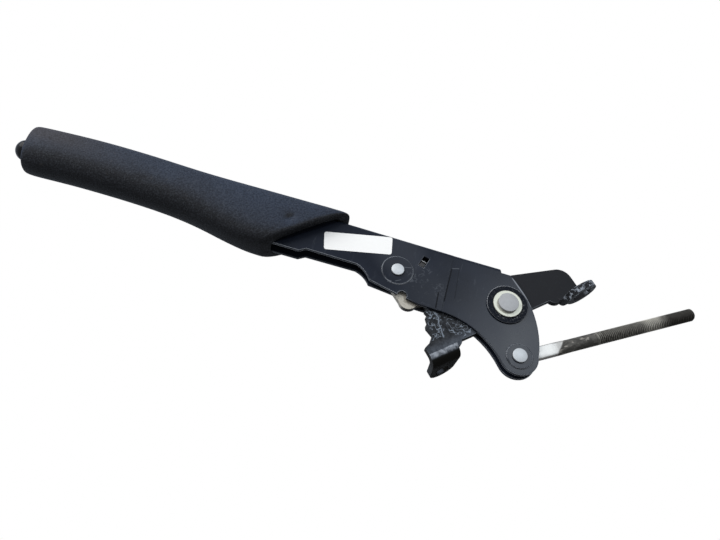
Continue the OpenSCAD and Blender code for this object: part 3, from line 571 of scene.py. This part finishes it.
def superellipse(count, power):
    """Unit points round a ring, as pairs of across and height."""
    points = []
    for step in range(count):
        turn = 2.0 * math.pi * step / count
        pair = (math.cos(turn), math.sin(turn))
        points.append(tuple(math.copysign(abs(x) ** (2.0 / power), x) for x in pair))
    return points


def loft(name, rings, ring_shaped):
    """Extrudes a circle from ring to ring; its end meets its start, or both ends are filled."""
    deselect()
    bpy.ops.mesh.primitive_circle_add(vertices=len(rings[0]), radius=0.01)
    piece = bpy.context.object
    piece.name = piece.data.name = name
    bpy.ops.object.mode_set(mode="EDIT")
    bpy.ops.mesh.select_all(action="SELECT")
    row = list(range(len(rings[0])))
    first = row
    for ring in rings:
        if ring is not rings[0]:
            bpy.ops.mesh.extrude_region()
        shape = bmesh.from_edit_mesh(piece.data)
        shape.verts.index_update()
        shape.verts.ensure_lookup_table()
        if ring is not rings[0]:
            old = [shape.verts[i] for i in row]
            row = [next(e.other_vert(v).index for e in v.link_edges if e.other_vert(v).select) for v in old]
        for index, point in zip(row, ring):
            shape.verts[index].co = point
        bmesh.update_edit_mesh(piece.data)
    if ring_shaped:
        bpy.ops.mesh.select_all(action="SELECT")
        bpy.ops.mesh.remove_doubles(threshold=1e-7)
    else:
        for ends in (row, first):
            bpy.ops.mesh.select_all(action="DESELECT")
            shape = bmesh.from_edit_mesh(piece.data)
            shape.verts.ensure_lookup_table()
            for index in ends:
                shape.verts[index].select = True
            shape.select_flush(True)
            bmesh.update_edit_mesh(piece.data)
            bpy.ops.mesh.edge_face_add()
    mend()
    return piece


def pick(piece):
    """Makes a piece the only selected one and the active one."""
    deselect()
    piece.select_set(True)
    bpy.context.view_layer.objects.active = piece


def mend(doubles=None, outward=True):
    """Merges doubles of the active mesh and turns its faces outwards."""
    bpy.ops.object.mode_set(mode="EDIT")
    bpy.ops.mesh.select_all(action="SELECT")
    if doubles:
        bpy.ops.mesh.remove_doubles(threshold=doubles)
    if outward:
        bpy.ops.mesh.normals_make_consistent(inside=False)
    bpy.ops.object.mode_set(mode="OBJECT")


def smooth(degrees):
    """Shades the active piece smooth up to an angle."""
    bpy.ops.object.shade_smooth_by_angle(angle=math.radians(degrees))


def modify(piece, kind, **settings):
    """Adds a modifier and applies it."""
    pick(piece)
    modifier = piece.modifiers.new(kind.title(), kind)
    for key, value in settings.items():
        setattr(modifier, key, value)
    bpy.ops.object.modifier_apply(modifier=modifier.name)


def across_cylinder(name, centre, radius, depth):
    """Cylinder whose axis lies across the lever."""
    deselect()
    bpy.ops.mesh.primitive_cylinder_add(
        vertices=64, radius=radius, depth=depth, location=centre, rotation=(math.pi / 2, 0, 0),
    )
    piece = bpy.context.object
    piece.name = piece.data.name = name
    bpy.ops.object.transform_apply(location=True, rotation=True, scale=True)
    return piece


def dress(piece, body, material):
    piece.data.materials.clear()
    piece.data.materials.append(material)
    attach(piece, body)
    return piece


# Pieces

# Grip's half width and the slant of its mouth
GRIP_HALF = 13.9
MOUTH = -1.17
# Rings of the grip's outside from the mouth to the front end: ahead, top, bottom, half width, slant
GRIP_OUTSIDE = [
    (128.3, 27.2, -6.1, GRIP_HALF - 2.4, MOUTH),
    (128.5, 28.9, -7.8, GRIP_HALF - 0.7, MOUTH),
    (129.9, 29.9, -9.0, GRIP_HALF + 0.4, MOUTH),
    (132.6, 30.3, -9.4, GRIP_HALF + 0.8, MOUTH * 0.97),
    (136.4, 30.3, -9.4, GRIP_HALF + 0.8, MOUTH * 0.90),
    (139.0, 30.4, -9.4, GRIP_HALF + 0.9, MOUTH * 0.85),
    (141.0, 30.4, -9.4, GRIP_HALF + 0.9, MOUTH * 0.82),
    (143.0, 30.4, -9.4, GRIP_HALF + 0.9, MOUTH * 0.78),
    (146.0, 30.4, -9.4, GRIP_HALF + 0.9, MOUTH * 0.73),
    (157.0, 30.6, -8.9, GRIP_HALF + 0.8, MOUTH * 0.52),
    (174.0, 30.9, -7.2, GRIP_HALF + 0.6, MOUTH * 0.28),
    (192.0, 31.2, -4.3, GRIP_HALF + 0.3, MOUTH * 0.10),
    (210.0, 31.6, -1.9, GRIP_HALF + 0.1, 0.0),
    (228.0, 32.4, -0.6, GRIP_HALF, 0.0),
    (246.0, 32.8, -0.1, GRIP_HALF - 0.1, 0.0),
    (264.0, 32.8, 0.0, GRIP_HALF - 0.1, 0.0),
    (280.0, 32.3, -0.2, GRIP_HALF - 0.2, 0.0),
    (294.0, 31.5, -0.9, GRIP_HALF - 0.4, 0.0),
    (304.5, 30.9, -1.5, GRIP_HALF - 0.7, 0.05),
    (310.2, 30.5, -1.4, GRIP_HALF - 1.1, 0.08),
    (312.2, 29.8, -0.7, GRIP_HALF - 1.8, 0.08),
    (312.9, 28.3, 0.9, GRIP_HALF - 3.4, 0.08),
]
# Rings of its inside from the button's hole back to the mouth:
# ahead, middle, half height, half width, slant, squareness
GRIP_INSIDE = [
    (312.6, 12.5, 8.2, 8.2, 0.0, 2.0),
    (311.6, 12.5, 7.2, 7.2, 0.0, 2.0),
    (309.0, 12.5, 7.0, 7.0, 0.0, 2.0),
    (300.0, 12.5, 8.7, 8.7, 0.0, 2.0),
    (290.6, 13.2, 10.8, 8.6, 0.0, 4.0),
    (284.0, 13.9, 11.2, 8.3, 0.0, 8.0),
    (230.0, 13.9, 11.2, 7.4, 0.0, 8.0),
    (186.0, 13.9, 11.2, 6.7, 0.0, 8.0),
    (152.0, 9.95, 15.15, 6.2, -0.5, 8.0),
    (136.0, 9.95, 15.15, 6.0, -0.9, 8.0),
    (131.0, 10.0, 15.4, 6.6, -1.1, 5.0),
    (129.0, 10.4, 16.0, 9.0, MOUTH, 3.0),
]
# Small dents in faces that look to the near side: ahead, height, reach and share of the dent depth
DENT_EDGE, NEAR_FACING = 3.0, -0.3
GRIP_DENTS = [
    (141.1, 10.4, 2.1, 1.0),
    (141.1, 10.4, 5.5, 0.4),
    (233.0, 8.5, 2.4, 0.5),
    (297.8, 17.2, 1.8, 0.5),
]
# Points round a ring; the outside's squareness at the front, what the mouth adds and how far that reaches
GRIP_POINTS = 48
GRIP_SQUARE, MOUTH_SQUARE = 2.25, 1.25
MOUTH_AT, MOUTH_REACH = 128.0, 70.0


class BRAKELEVER_OT_grip(bpy.types.Operator):
    """Soft moulded grip with its rolled mouth, hollow inside and button hole"""

    bl_idname = "brake_lever.grip"
    bl_label = "Grip"

    def execute(self, context):
        sizes = context.scene.brake_lever_sizes
        colours = context.scene.brake_lever_colours
        sections = []
        for ahead, top, bottom, half, slant in GRIP_OUTSIDE:
            power = GRIP_SQUARE + MOUTH_SQUARE * max(0.0, 1.0 - (ahead - MOUTH_AT) / MOUTH_REACH)
            sections.append((ahead, (top + bottom) / 2, (top - bottom) / 2, half, slant, power))
        rings = []
        for ahead, middle, rise, half, slant, power in sections + GRIP_INSIDE:
            rings.append([
                on_lever(ahead + slant * rise * h, middle + rise * h, half * a)
                for a, h in superellipse(GRIP_POINTS, power)
            ])
        rings.append(list(rings[0]))
        grip = loft("grip_skin", rings, True)
        modify(grip, "SUBSURF", levels=sizes.grip_smoothing, render_levels=sizes.grip_smoothing)
        for ahead, height, reach, share in GRIP_DENTS:
            centre = on_lever(ahead, height, -GRIP_HALF)
            for vertex in grip.data.vertices:
                gap = ((vertex.co - centre).length / MM) / reach
                if gap < DENT_EDGE and vertex.normal.y < NEAR_FACING:
                    vertex.co += ACROSS * (sizes.dent_depth * share * math.exp(-gap * gap))
        bpy.ops.object.shade_smooth()
        dress(grip, "lever", grip_foam(tuple(colours.grip), tuple(colours.worn_grip)))
        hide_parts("grip")
        return {"FINISHED"}


# Pull rod's flat and neck: millimetres from the pin, half thickness and squareness
ROD_NECK = (
    (1.0, 1.95, 9.0), (20.0, 1.95, 9.0), (24.5, 2.0, 8.0), (26.5, 2.2, 6.0),
    (28.5, 2.75, 4.0), (30.5, 3.2, 2.8), (32.5, 3.5, 2.2),
)
NECK_END, SHANK_STEP, ROD_POINTS = 34.5, 0.4, 40
EYE_RADIUS, EYE_THICKNESS, EYE_ROUNDING = 7.5, 3.9, 0.35
EYE_BORE, BORE_LENGTH = 3.05, 30.0
# Thread: gap between its crest and the solid's skin, the crest's flat as shares of the pitch,
# steps per turn, start as a share of a turn so that no point lies in the cut, fade-in and pointed end
CREST_GAP, CREST_FLAT, THREAD_STEPS, THREAD_LEAD = 0.02, (0.38, 0.62), 20, 1.013
FADE_IN, POINT_DROP = 3.0, 1.1


class BRAKELEVER_OT_pull_rod(bpy.types.Operator):
    """Pull rod with a flattened eye, a plain shank and a real thread"""

    bl_idname = "brake_lever.pull_rod"
    bl_label = "Pull rod"

    def execute(self, context):
        sizes = context.scene.brake_lever_sizes
        colours = context.scene.brake_lever_colours
        radius = MOUNTS["pull_rod_thread"]["dims"]["r_mm"]
        end = sizes.rod_length / MM
        start = end - sizes.thread_length / MM
        shank = radius - SHANK_STEP
        rings = []
        for along, thick, power in (*ROD_NECK, (NECK_END, shank, 2.0), (start + 1.0, shank, 2.0)):
            outline = superellipse(ROD_POINTS, power)
            rings.append([on_rod(along, radius * h, thick * a) for a, h in outline])
        rod = loft("threaded_pull_rod", rings, False)
        eye = across_cylinder("eye", ROD_PIN, EYE_RADIUS * MM, EYE_THICKNESS * MM)
        hole = across_cylinder("eye_hole", ROD_PIN, EYE_BORE * MM, BORE_LENGTH * MM)
        modify(eye, "BEVEL", width=EYE_ROUNDING * MM, segments=2)
        modify(rod, "BOOLEAN", operation="UNION", object=eye, solver="EXACT")
        modify(rod, "BOOLEAN", operation="DIFFERENCE", object=hole, solver="EXACT")
        for tool in (eye, hole):
            bpy.data.objects.remove(tool)
        thread = self.thread(sizes, radius, start, end)
        pick(rod)
        thread.select_set(True)
        bpy.ops.object.join()
        smooth(32)
        dress(rod, "pull_rod", rod_steel(tuple(colours.rod)))
        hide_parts("pull_rod")
        return {"FINISHED"}

    def thread(self, sizes, radius, start, end):
        """Screws one flank profile round the rod's axis, cuts it to length and points its end."""
        pitch = sizes.thread_pitch / MM
        root, crest = radius - sizes.thread_depth / MM, radius - CREST_GAP
        flat_from, flat_to = CREST_FLAT
        deselect()
        bpy.ops.mesh.primitive_circle_add(vertices=4, radius=0.01)
        thread = bpy.context.object
        bpy.ops.object.mode_set(mode="EDIT")
        shape = bmesh.from_edit_mesh(thread.data)
        shape.edges.ensure_lookup_table()
        shape.verts.ensure_lookup_table()
        closing = next(e for e in shape.edges if {v.index for v in e.verts} == {0, 3})
        shape.edges.remove(closing)
        profile = ((root, 0.0), (crest, flat_from), (crest, flat_to), (root, 1.0))
        for vertex, (r, z) in zip(shape.verts, profile):
            vertex.co = (r * MM, 0.0, (start + (z - THREAD_LEAD) * pitch) * MM)
        bmesh.update_edit_mesh(thread.data)
        bpy.ops.object.mode_set(mode="OBJECT")
        turns = math.ceil((end - start) / pitch) + 3
        modify(
            thread, "SCREW", axis="Z", angle=2 * math.pi, screw_offset=pitch * MM, iterations=turns,
            steps=THREAD_STEPS, render_steps=THREAD_STEPS, use_merge_vertices=True, merge_threshold=1e-6,
        )
        bpy.ops.object.mode_set(mode="EDIT")
        for level, inner in ((start, True), (end, False)):
            bpy.ops.mesh.select_all(action="SELECT")
            bpy.ops.mesh.bisect(
                plane_co=(0, 0, level * MM), plane_no=(0, 0, 1),
                use_fill=True, clear_inner=inner, clear_outer=not inner,
            )
        mend(1e-6)
        for vertex in thread.data.vertices:
            flat = math.hypot(vertex.co.x, vertex.co.y)
            if flat < 1e-6:
                continue
            along, r = vertex.co.z / MM, flat / MM
            fade = min(1.0, max(0.0, (along - start) / FADE_IN))
            wanted = min(crest * (1.0 - fade) + r * fade, radius - POINT_DROP + max(0.0, end - along))
            vertex.co.x *= wanted / r
            vertex.co.y *= wanted / r
        turn = Matrix((ACROSS.cross(ROD_WAY), ACROSS, ROD_WAY)).transposed()
        thread.data.transform(Matrix.Translation(ROD_PIN) @ turn.to_4x4())
        return thread


# Seal: corners, distance it is laid on from, rounding, heights where it bends with the cheek, gap under it
SEAL_CORNERS = ((116.2, 0.9), (119.4, 13.2), (75.6, 11.1), (77.9, 23.6))
SEAL_SIDE, SEAL_ROUNDING = -12.0, 1.5
SEAL_BENDS, SEAL_GAP = (21.6, 22.2, 22.8, 23.3), 0.00004


class BRAKELEVER_OT_seal(bpy.types.Operator):
    """Blank paper seal stuck on the near cheek"""

    bl_idname = "brake_lever.seal"
    bl_label = "Paper seal"

    def execute(self, context):
        sizes = context.scene.brake_lever_sizes
        deselect()
        bpy.ops.mesh.primitive_plane_add(size=0.01)
        seal = context.object
        seal.name = seal.data.name = "paper_seal"
        for vertex, (ahead, height) in zip(seal.data.vertices, SEAL_CORNERS):
            vertex.co = on_lever(ahead, height, SEAL_SIDE)
        bpy.ops.object.mode_set(mode="EDIT")
        bpy.ops.mesh.select_all(action="SELECT")
        bpy.ops.mesh.bevel(offset=SEAL_ROUNDING * MM, segments=5, affect="VERTICES")
        for height in SEAL_BENDS:
            bpy.ops.mesh.select_all(action="SELECT")
            bpy.ops.mesh.bisect(plane_co=on_lever(100, height, 0), plane_no=RISE)
        mend()
        modify(
            seal, "SHRINKWRAP", target=frame["nodes"]["lever_channel"], wrap_method="PROJECT",
            use_project_y=True, use_positive_direction=True, use_negative_direction=False, offset=SEAL_GAP,
        )
        if seal.data.polygons[0].normal.y > 0:
            seal.data.flip_normals()
        modify(seal, "SOLIDIFY", thickness=sizes.seal_thickness, offset=1.0)
        smooth(40)
        dress(seal, "lever", paper(tuple(context.scene.brake_lever_colours.paper)))
        return {"FINISHED"}


# Cheek's slot and the spring's tongue in it, in millimetres and degrees
SLOT, SLOT_TILT = Vector((55.1, 12.9)), math.radians(17.0)
TONGUE_WIDTH, TONGUE_LENGTH, TONGUE_MIDDLE, TONGUE_SINK = 3.3, 3.1, 2.05, 0.75
TONGUE_ROUNDING, TONGUE_TONE = 0.3, (0.028, 0.027, 0.027)


class BRAKELEVER_OT_tongue(bpy.types.Operator):
    """Flat end of the pawl spring, which fills the lower half of the cheek's slot"""

    bl_idname = "brake_lever.tongue"
    bl_label = "Spring tongue"

    def execute(self, context):
        beside = Vector((math.cos(SLOT_TILT), math.sin(SLOT_TILT)))
        down = Vector((math.sin(SLOT_TILT), -math.cos(SLOT_TILT)))
        face = (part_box("pawl_spring")[0][1] - PIVOT.y) / MM + TONGUE_SINK
        deselect()
        bpy.ops.mesh.primitive_cube_add(size=1.0)
        tongue = context.object
        tongue.name = tongue.data.name = "spring_tongue"
        for vertex in tongue.data.vertices:
            across, along = TONGUE_WIDTH * vertex.co.x, TONGUE_MIDDLE + TONGUE_LENGTH * vertex.co.z
            place = SLOT + beside * across + down * along
            vertex.co = on_lever(place.x, place.y, face + vertex.co.y + 0.5)
        mend()
        modify(tongue, "BEVEL", width=TONGUE_ROUNDING * MM, segments=2)
        smooth(40)
        steel = plated("tongue_steel", TONGUE_TONE, rough=0.5, spots=0.3, darkening=0.2)
        dress(tongue, "lever", steel)
        return {"FINISHED"}


class BRAKELEVER_OT_coil(bpy.types.Operator):
    """Button's coil spring between its seat and the button"""

    bl_idname = "brake_lever.coil"
    bl_label = "Button coil"

    def execute(self, context):
        coil = bpy.data.objects.new("button_coil", frame["nodes"]["button_spring"].data.copy())
        context.scene.collection.objects.link(coil)
        pick(coil)
        mend(1e-6, False)
        smooth(50)
        steel = tuple(context.scene.brake_lever_colours.steel)
        coil.data.materials.clear()
        coil.data.materials.append(plated("coil_steel", steel, rough=0.45, spots=0.2, darkening=0.2))
        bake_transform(coil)
        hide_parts("button_spring")
        return {"FINISHED"}


class BRAKELEVER_OT_finishes(bpy.types.Operator):
    """Finishes of the rigid pieces that come as they are from the solids"""

    bl_idname = "brake_lever.finishes"
    bl_label = "Finishes"

    def execute(self, context):
        c = context.scene.brake_lever_colours
        finishes = {
            "bracket_black": greasy_black(tuple(c.bracket), tuple(c.grease)),
            "lever_black": black_coat(tuple(c.lever)),
            "zinc_bright": plated("bright_zinc", tuple(c.zinc), rough=0.48, spots=0.15, darkening=0.2),
            "pale_zinc": plated("cream_zinc", tuple(c.cream), rough=0.42, spots=0.30, darkening=0.2),
            "steel_grey": plated("plain_steel", tuple(c.steel), rough=0.52, spots=0.22, darkening=0.2),
            "button_black": gloss_plastic(tuple(c.button)),
            "guide_white": nylon(tuple(c.nylon)),
        }
        ring = dirty_ring(tuple(c.lever))
        single = {
            "near_pivot_bush": ring,
            "far_pivot_bush": ring,
            # The pawl's faces that look down get strong painted shade
            "pawl": plated("pawl_steel", tuple(c.pawl), rough=0.5, spots=0.8, darkening=0.95),
            "pawl_spring": plated(
                "spring_steel", darker(tuple(c.steel), 0.9), rough=0.45, spots=0.3, darkening=0.2,
            ),
        }
        for part in frame["record"]["subparts"]:
            node = frame["nodes"][part["node"]]
            finish = single.get(part["node"], finishes.get(part["material_slot"]))
            if finish:
                node.data.materials.clear()
                node.data.materials.append(finish)
        return {"FINISHED"}


# Camera and lamps; the key lamp's way is measured along the camera's own axes
CAMERA_AT = Vector((-0.1633, -0.3903, -0.1014))
CAMERA_RIGHT = Vector((0.8818, -0.1244, -0.4548))
CAMERA_UP = Vector((0.3392, -0.5026, 0.7952))
CAMERA_AHEAD = Vector((0.3275, 0.8555, 0.4010))
CAMERA_LENS, CAMERA_SENSOR = 35.75, 36.0
LAMP_AIM, LAMP_DISTANCE = Vector((0.0, -0.016, 0.09)), 0.95
KEY_WAY, KEY_SIZE = CAMERA_UP * 0.80 - CAMERA_AHEAD * 0.35 - CAMERA_RIGHT * 0.50, 0.9
FRONT_WAY, FRONT_SIZE, FRONT_SHARE = Vector((0.515, -0.853, 0.085)), 0.2, 0.22
WHITE, FRONT_TINT, SKY_IN_GLOSS = (1.0, 1.0, 1.0), (0.86, 0.93, 1.0), (0.66, 0.73, 0.83)
# Grey that the floor shows to the part
FLOOR_BOUNCE = (0.3, 0.3, 0.3)


class BRAKELEVER_OT_stage(bpy.types.Operator):
    """Pale floor, soft studio light, white surroundings and the camera"""

    bl_idname = "brake_lever.stage"
    bl_label = "Stage"

    def execute(self, context):
        stage = context.scene.brake_lever_stage
        scene = context.scene
        scene.view_settings.view_transform = "Standard"
        deselect()
        bpy.ops.mesh.primitive_circle_add(
            vertices=96, radius=stage.floor_radius, fill_type="NGON", location=(0.0, 0.0, stage.floor_level),
        )
        floor = context.object
        floor.name = "floor"
        bpy.ops.object.transform_apply(location=True, rotation=True, scale=True)
        material, f = new_finish("floor_paper")
        speck = f.noise(30.0, 2.0)
        shade = stage.floor_shade
        pale = f.mix(speck, (shade * 0.98,) * 3, (shade,) * 3)
        seen = f.node("ShaderNodeLightPath", out="Is Camera Ray")
        f.surface(Base_Color=f.mix(seen, FLOOR_BOUNCE, pale), Roughness=0.9, Specular_IOR_Level=0.1)
        floor.data.materials.append(material)
        world = bpy.data.worlds.new("studio")
        scene.world = world
        world.use_nodes = True
        f = Finish(world.node_tree)
        seen = f.node("ShaderNodeLightPath", out="Is Camera Ray")
        gloss = f.node("ShaderNodeLightPath", out="Is Glossy Ray")
        through = f.node("ShaderNodeLightPath", out="Is Transmission Ray")
        clear = seen.either(through)
        strength = stage.fill + clear.either(gloss) * (1.0 - stage.fill)
        tone = f.mix(gloss * (1.0 - clear), WHITE, SKY_IN_GLOSS)
        sky = f.node("ShaderNodeBackground", None, {"Color": tone, "Strength": strength})
        f.node("ShaderNodeOutputWorld", None, {"Surface": sky})
        for name, way, size, power, tint in (
            ("key_light", KEY_WAY, KEY_SIZE, stage.key_power, WHITE),
            ("front_light", FRONT_WAY, FRONT_SIZE, stage.key_power * FRONT_SHARE, FRONT_TINT),
        ):
            lamp = bpy.data.lights.new(name, "AREA")
            lamp.shape = "DISK"
            lamp.size = size
            lamp.energy = power
            lamp.color = tint
            holder = bpy.data.objects.new(name, lamp)
            scene.collection.objects.link(holder)
            holder.location = LAMP_AIM + way.normalized() * LAMP_DISTANCE
            holder.rotation_mode = "QUATERNION"
            holder.rotation_quaternion = (-way).to_track_quat("-Z", "Y")
        camera = bpy.data.objects.new("camera", bpy.data.cameras.new("camera"))
        scene.collection.objects.link(camera)
        camera.data.sensor_fit = "HORIZONTAL"
        camera.data.sensor_width = CAMERA_SENSOR
        camera.data.lens = CAMERA_LENS
        camera.data.clip_start = 0.01
        axes = Matrix((CAMERA_RIGHT, CAMERA_UP, -CAMERA_AHEAD)).transposed().to_4x4()
        axes.translation = CAMERA_AT
        camera.matrix_world = axes
        scene.camera = camera
        return {"FINISHED"}


class BRAKELEVER_PT_panel(bpy.types.Panel):
    """Lists the pieces of the brake lever"""

    bl_idname = "BRAKELEVER_PT_panel"
    bl_label = "Brake lever"
    bl_space_type = "VIEW_3D"
    bl_region_type = "UI"
    bl_category = "Brake lever"

    def draw(self, context):
        for operator in OPERATORS:
            self.layout.operator(operator.bl_idname)
        for group in ("brake_lever_sizes", "brake_lever_colours", "brake_lever_stage"):
            values = getattr(context.scene, group)
            for key in values.__annotations__:
                self.layout.prop(values, key)


GROUPS = {
    "brake_lever_sizes": BRAKELEVER_PG_sizes,
    "brake_lever_colours": BRAKELEVER_PG_colours,
    "brake_lever_stage": BRAKELEVER_PG_stage,
}
OPERATORS = (
    BRAKELEVER_OT_grip,
    BRAKELEVER_OT_pull_rod,
    BRAKELEVER_OT_seal,
    BRAKELEVER_OT_tongue,
    BRAKELEVER_OT_coil,
    BRAKELEVER_OT_finishes,
    BRAKELEVER_OT_stage,
)
CLASSES = (*GROUPS.values(), *OPERATORS, BRAKELEVER_PT_panel)


def register():
    for item in CLASSES:
        bpy.utils.register_class(item)
    for name, group in GROUPS.items():
        setattr(bpy.types.Scene, name, PointerProperty(type=group))


def unregister():
    for name in GROUPS:
        delattr(bpy.types.Scene, name)
    for item in reversed(CLASSES):
        bpy.utils.unregister_class(item)


def main():
    register()
    bpy.ops.brake_lever.grip()
    bpy.ops.brake_lever.pull_rod()
    bpy.ops.brake_lever.seal()
    bpy.ops.brake_lever.tongue()
    bpy.ops.brake_lever.coil()
    bpy.ops.brake_lever.finishes()
    bpy.ops.brake_lever.stage()


if __name__ == "__main__":
    main()
